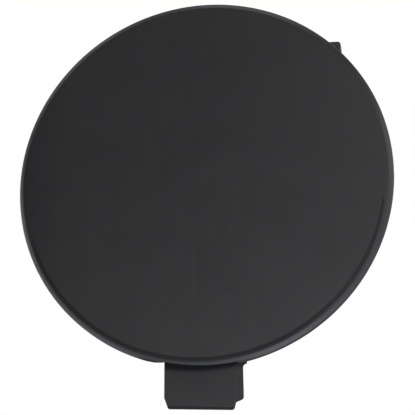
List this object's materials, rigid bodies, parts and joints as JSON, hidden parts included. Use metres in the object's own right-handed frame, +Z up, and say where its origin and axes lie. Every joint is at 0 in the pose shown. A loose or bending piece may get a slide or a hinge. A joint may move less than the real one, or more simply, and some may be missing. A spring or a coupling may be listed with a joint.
{
  "type": "bumper tow hook cover",
  "caption": "Round snap-in cover for a bumper's tow hook opening, with a crowned face, a collar, a locating tongue and snap hooks.",
  "frame": {"origin": "centre of the seat, the flat ring on the back of the rim that lies on the bumper skin", "axes": "+Y from the seat into the bumper, along the way the cover is pushed in; +Z up, from the tongue towards the snap hooks; +X to the right for someone who looks along +Y at the visible face"},
  "size_m": [0.07, 0.0146, 0.0769],
  "materials": {
    "black_plastic": "moulded dark grey plastic with a fine satin grain"
  },
  "bodies": {
    "root": {"tow_hook_cover": "black_plastic"}
  },
  "joints": []
}
